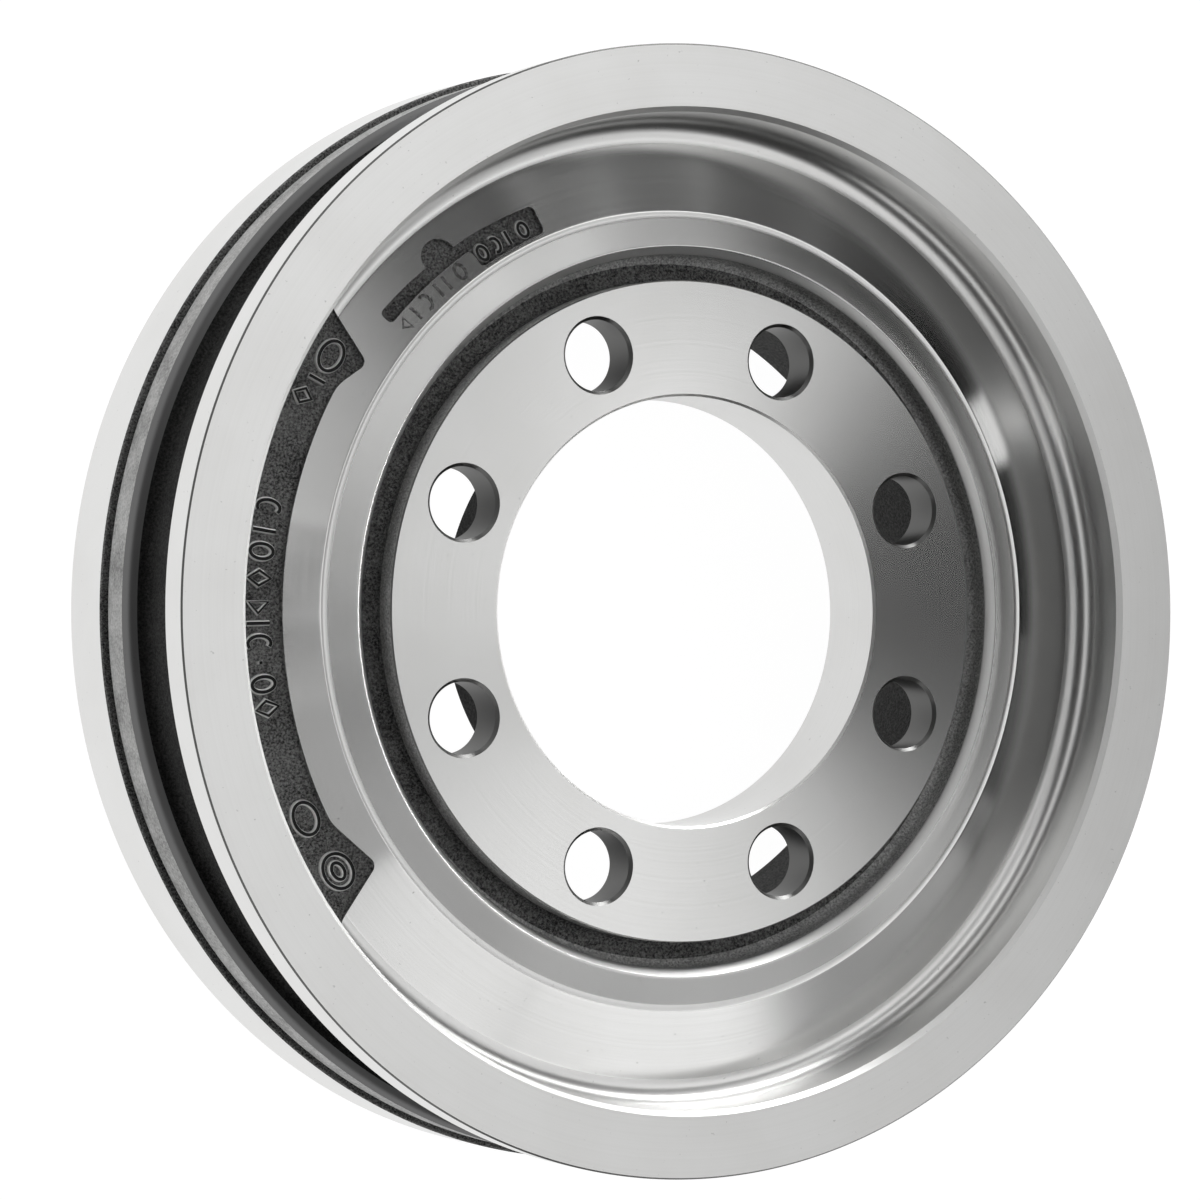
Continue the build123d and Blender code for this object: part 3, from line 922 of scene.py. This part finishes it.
def drum_materials(colours):
    """One material for each finish, in the order from TURNED to GROOVE_FLOOR.

    The sand's grain is 0.2 to 0.4 mm and is drawn coarser too, for the same reason as the rings."""
    sand = colours.ground, colours.ground_grain
    return [
        # Fine facing cut: an even satin grey that shades slowly around the axis.
        turned_iron("grey iron, fine turned", colours, 0.315, 0.2, 0.0),
        # Polished by a formed tool: light stays sharp along the rings and smears out from the axis.
        turned_iron("grey iron, turned dish", colours, 0.119, 0.97, 0.25),
        # Long flanks of the tool marks lean outwards, so the right side goes dark and the left bright.
        turned_iron("grey iron, turned hub face", colours, 0.249, 0.24, 0.0, lean=-0.123),
        # Plain cut on a cone: one soft step darker or paler than the dish.
        turned_iron("grey iron, turned lip", colours, 0.263, 0.28, 0.25),
        # Formed corner: gathers the lamps into one long bright line.
        turned_iron("grey iron, turned cove", colours, 0.303, 0.46, 0.25),
        # Cut along the axis: mirrors the dish as a dark band.
        turned_iron("grey iron, turned dish wall", colours, 0.291, 0.56, 0.25, across=0.0),
        # Filed and handled edges: matt and pale.
        turned_iron("grey iron, rubbed bevel", colours, 0.42, 0.0, 0.0),
        # Narrow broken edges: painted shade, the darker drilled colour draws them as thin dark lines
        # between bright faces.
        turned_iron("grey iron, broken edge", colours, 0.3, 0.0, 0.0, iron=colours.drilled),
        # Boring bar marks run around the wall: pale, with a stretched shine.
        turned_iron("grey iron, bored", colours, 0.35, 0.6, 0.25, across=0.0),
        # Drilled walls: a darker iron colour, with faint rings.
        turned_iron(
            "grey iron, drilled", colours, 0.45, 0.3, 0.25, across=0.0, iron=colours.drilled),
        # Turned, then left to oxidise: smooth mid grey.
        turned_iron(
            "grey iron, oxidised flank", colours, 0.45, 0.3, 0.25, across=0.5, iron=colours.flank),
        # Cleaned with grit: pale, matt and mottled.
        blasted_iron("grey iron, grit-blasted", colours),
        # Skin from a fine sand mould: near black with small grey tops.
        cast_skin("grey iron, sand-cast skin", colours.cast, colours.cast_grain, 0.8 * MM, 0.5 * MM),
        # Skin from coarser sand: dark with plain speckle.
        cast_skin("grey iron, coarse sand ground", *sand, 0.7 * MM, 0.6 * MM),
        # Cast groove walls: stippled mid grey. The pale grey is painted light, a lit copy of the dark
        # cast skin.
        cast_skin(
            "grey iron, cast groove wall", colours.groove, colours.groove_grain, 0.7 * MM, 0.4 * MM),
        # Cast groove floor: the plain dark sand ground, dark against the walls, which carry painted
        # light.
        cast_skin("grey iron, cast groove floor", *sand, 0.7 * MM, 0.4 * MM),
    ]


# ---------------------------------------------------------------- studio

SOFTBOXES = (
    # lowest and highest angle from straight up, from and to around the axis, level
    (0.0, 32.5, 228.8, 328.8, 0.44),
    (0.0, 35.0, 346.2, 405.0, 1.01),
    (0.0, 65.0, 320.0, 343.8, 0.29),
    (6.25, 11.25, 126.2, 168.8, 2.12),
    (6.25, 38.75, 73.8, 136.2, 0.75),
    (10.0, 11.25, 181.2, 226.2, 4.48),
    (17.5, 45.0, 285.0, 348.8, 0.59),
    (23.75, 43.75, 15.0, 28.8, 1.11),
    (31.25, 58.75, 305.0, 325.0, 0.50),
    (35.0, 41.25, 72.5, 128.8, 1.79),
    (36.25, 51.25, 62.5, 70.0, 1.67),
    (36.25, 71.25, 32.5, 83.8, 0.06),
    (45.0, 57.5, 43.8, 76.2, 0.60),
    (48.75, 57.5, 217.5, 221.2, 6.09),
    (55.0, 60.0, 10.6, 15.4, 1.60),
    (56.25, 90.0, 328.8, 347.5, 0.43),
    (57.5, 90.0, 347.5, 358.8, 0.15),
    (66.25, 90.0, 95.0, 270.0, 1.0),
    (72.5, 90.0, 341.2, 433.8, 3.21),
    (73.75, 85.0, 53.8, 78.8, 10.97),
    (81.25, 90.0, 345.0, 398.8, 13.37),
)
HORIZON_ANGLE = 90.0    # degrees from straight up
SOFT_EDGE = 0.3         # width of a lamp's edge, degrees
FLOOR_GLOW = 1.09       # level at which the seen floor renders as white
FLOOR_GLOW_SHARE = 0.9  # the rest is lit paint, which keeps the drum's shadow

SENSOR_WIDTH = 36.0     # mm
FRAME_WIDTH = 1200      # pixels
FOCAL_LENGTH = 4254     # pixels
CAMERA_SHIFT = (-0.0907, 0.0092)


def eye_rays(add):
    """Rays straight from the camera, and rays that went on by a mirror or through glass."""
    rays = add("ShaderNodeLightPath").outputs
    direct, glossy, through = (rays[f"Is {kind} Ray"] for kind in ("Camera", "Glossy", "Transmission"))
    return direct, add("ShaderNodeMath", (glossy, through), operation="MAXIMUM")


def studio_world(settings):
    """A dark dome with soft lamps, and white below its edge."""
    world = bpy.data.worlds.new("studio")
    world.use_nodes = True
    world.node_tree.nodes.clear()
    add = partial(add_node, world.node_tree)
    ray = add("ShaderNodeTexCoord").outputs["Generated"]
    x, y, z = add("ShaderNodeSeparateXYZ", (ray,)).outputs
    polar_angle = add("ShaderNodeMath", (z,), operation="ARCCOSINE")
    turn_angle = add("ShaderNodeMath", (y, x), operation="ARCTAN2")
    down, around = (
        add("ShaderNodeMath", (radians, 180 / math.pi), operation="MULTIPLY")
        for radians in (polar_angle, turn_angle))

    def lower_than(value, limit, soft=SOFT_EDGE / 2):
        """1 below the limit and 0 above it, with a soft edge."""
        return add("ShaderNodeMapRange", (
            value, limit - soft, limit + soft, 1.0, 0.0), interpolation_type="SMOOTHSTEP")

    def within(value, middle, half):
        """1 up to half a band's width from its middle and 0 beyond, with a soft edge."""
        offset = add("ShaderNodeMath", (value, middle), operation="SUBTRACT")
        return lower_than(add("ShaderNodeMath", (offset,), operation="ABSOLUTE"), half)

    level = settings.sky
    for low, high, start, end, strength in SOFTBOXES:
        # A lamp right overhead has no inner edge.
        tall = within(down, (low + high) / 2, (high - low) / 2) if low > 0 else lower_than(down, high)
        offset = add("ShaderNodeMath", (around, (start + end) / 2), operation="SUBTRACT")
        turned = add("ShaderNodeMath", (offset, 180.0, -180.0), operation="WRAP")
        wide = within(turned, 0.0, (end - start) / 2)
        window = add("ShaderNodeMath", (tall, wide), operation="MULTIPLY")
        level = add("ShaderNodeMath", (window, strength, level), operation="MULTIPLY_ADD")
    surround = add("ShaderNodeMapRange", (
        down, HORIZON_ANGLE - SOFT_EDGE, HORIZON_ANGLE + SOFT_EDGE, 0.0, 1.0,
    ), interpolation_type="SMOOTHSTEP")
    light = add("ShaderNodeMix", {
        "Factor": surround, "A": level, "B": settings.horizon}, data_type="FLOAT")
    direct, mirrored = eye_rays(add)
    mirrored = add("ShaderNodeMath", (mirrored, surround), operation="MULTIPLY")
    seen = add("ShaderNodeMath", (direct, mirrored), operation="MAXIMUM")
    shown = add("ShaderNodeMix", {"Factor": seen, "A": light, "B": 1.0}, data_type="FLOAT")
    back = add("ShaderNodeBackground", {"Color": (1, 1, 1, 1), "Strength": shown})
    add("ShaderNodeOutputWorld", {"Surface": back})
    return world


def studio_floor(settings, colours):
    """A wide floor of matt white paint: white to the eye, with a light shadow of the drum."""
    bm = bmesh.new()
    bmesh.ops.create_circle(bm, cap_ends=True, segments=96, radius=settings.floor_radius)
    mesh = bpy.data.meshes.new("floor")
    bm.to_mesh(mesh)
    bm.free()
    floor = bpy.data.objects.new("floor", mesh)
    bpy.context.scene.collection.objects.link(floor)
    material, add, shader, output = new_material("painted studio floor")
    feed(shader, {"Base Color": colours.floor, "Roughness": 0.9, "Specular IOR Level": 0.0})
    seen = add("ShaderNodeMath", eye_rays(add), operation="MAXIMUM")
    share = add("ShaderNodeMath", (seen, FLOOR_GLOW_SHARE), operation="MULTIPLY")
    glow = add("ShaderNodeEmission", {"Strength": FLOOR_GLOW})
    blend = add("ShaderNodeMixShader", (share, shader, glow))
    feed(output, {"Surface": blend})
    mesh.materials.append(material)


def aim_camera(settings):
    """The camera, off the axis towards -X, looking at the front face."""
    camera_data = bpy.data.cameras.new("camera")
    camera = bpy.data.objects.new("camera", camera_data)
    bpy.context.scene.collection.objects.link(camera)
    tilt = Matrix.Rotation(settings.camera_tilt, 3, "Y")
    turn_by = Matrix.Rotation(settings.camera_turn, 3, "X") @ tilt
    target = Vector((0, 0, bpy.context.scene.brake_front.width))
    camera.location = target + Vector(turn_by[2]) * settings.camera_distance
    camera.rotation_mode = "QUATERNION"
    camera.rotation_quaternion = turn_by.transposed().to_quaternion()
    camera_data.sensor_width = SENSOR_WIDTH
    camera_data.lens = FOCAL_LENGTH / FRAME_WIDTH * SENSOR_WIDTH
    camera_data.shift_x, camera_data.shift_y = CAMERA_SHIFT
    bpy.context.scene.camera = camera


class BRAKEDRUM_OT_studio(bpy.types.Operator):
    """Set up the floor, the soft lamps and the camera"""

    bl_idname = "brakedrum.studio"
    bl_label = "Studio"

    def execute(self, context):
        scene = context.scene
        scene.world = studio_world(scene.brake_studio)
        studio_floor(scene.brake_studio, scene.brake_finish)
        aim_camera(scene.brake_studio)
        scene.view_settings.view_transform = "Standard"
        return {"FINISHED"}


# ---------------------------------------------------------------- sidebar and registration

class BRAKEDRUM_PT_sidebar(bpy.types.Panel):
    """Sizes, colours and steps of the brake drum"""

    bl_idname = "BRAKEDRUM_PT_sidebar"
    bl_label = "Brake Drum"
    bl_space_type = "VIEW_3D"
    bl_region_type = "UI"
    bl_category = "Brake Drum"

    def draw(self, context):
        for operator in OPERATORS:
            self.layout.operator(operator.bl_idname)
        for name, group in SIZE_GROUPS.items():
            box = self.layout.box()
            box.label(text=group.__doc__)
            for item in group.__annotations__:
                box.prop(getattr(context.scene, name), item)


OPERATORS = (BRAKEDRUM_OT_casting, BRAKEDRUM_OT_marks, BRAKEDRUM_OT_studio)


def register():
    for item in (*SIZE_GROUPS.values(), *OPERATORS, BRAKEDRUM_PT_sidebar):
        bpy.utils.register_class(item)
    for name, group in SIZE_GROUPS.items():
        setattr(bpy.types.Scene, name, bpy.props.PointerProperty(type=group))


def unregister():
    for name in SIZE_GROUPS:
        delattr(bpy.types.Scene, name)
    for item in reversed((*SIZE_GROUPS.values(), *OPERATORS, BRAKEDRUM_PT_sidebar)):
        bpy.utils.unregister_class(item)


def main():
    register()
    bpy.ops.brakedrum.studio()
    bpy.ops.brakedrum.casting()
    bpy.ops.brakedrum.marks()


if __name__ == "__main__":
    main()
